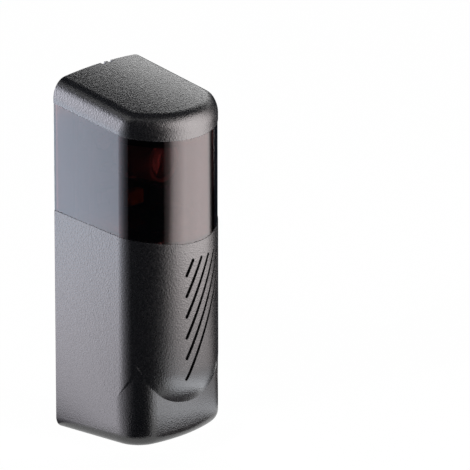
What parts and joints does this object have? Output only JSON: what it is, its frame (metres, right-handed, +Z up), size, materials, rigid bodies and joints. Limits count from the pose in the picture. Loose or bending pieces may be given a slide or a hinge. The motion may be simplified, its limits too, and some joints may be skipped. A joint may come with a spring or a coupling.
{
  "type": "gate photocell",
  "caption": "Slim wall-mounted photocell with a bowed front, slanted grooves, a smoked window band and a sloping cap, holding a lens, a circuit board and screw terminals.",
  "frame": {"origin": "centre of the bounding box on the flat bottom", "axes": "+Z up, +Y towards the wall, so the window and grooves look along -Y"},
  "size_m": [0.04, 0.038, 0.107],
  "materials": {
    "housing": "fine spark-eroded texture",
    "window": "polished, infrared pass",
    "base": "moulded",
    "seal": "moulded",
    "steel": "zinc plated",
    "board": "solder resist",
    "holder": "moulded",
    "lens": "polished",
    "dark_moulding": "moulded",
    "terminal": "moulded",
    "brass": "plated",
    "relay": "moulded",
    "tantalum": "moulded",
    "can": "sleeved",
    "varistor": "dipped",
    "red_led": "diffused",
    "green_led": "diffused",
    "jumper": "moulded"
  },
  "bodies": {
    "root": {"lower_cover": "housing", "smoked_window": "window", "top_cap": "housing", "rear_base": "base", "base_gasket": "seal", "cable_grommet": "seal", "cover_screw": "steel", "circuit_board": "board", "board_screws": "steel", "lens_holder": "holder", "lens": "lens", "photodiode": "dark_moulding", "terminal_block": "terminal", "terminal_clamps": "brass", "terminal_screws": "steel", "relay": "relay", "tantalum_capacitor": "tantalum", "electrolytic_capacitors": "can", "varistor": "varistor", "rectifier_diodes": "dark_moulding", "amplifier_chip": "dark_moulding", "voltage_regulator": "dark_moulding", "status_led": "red_led", "power_led": "green_led", "jumper_header": "dark_moulding", "jumper_cap": "jumper"}
  },
  "joints": []
}
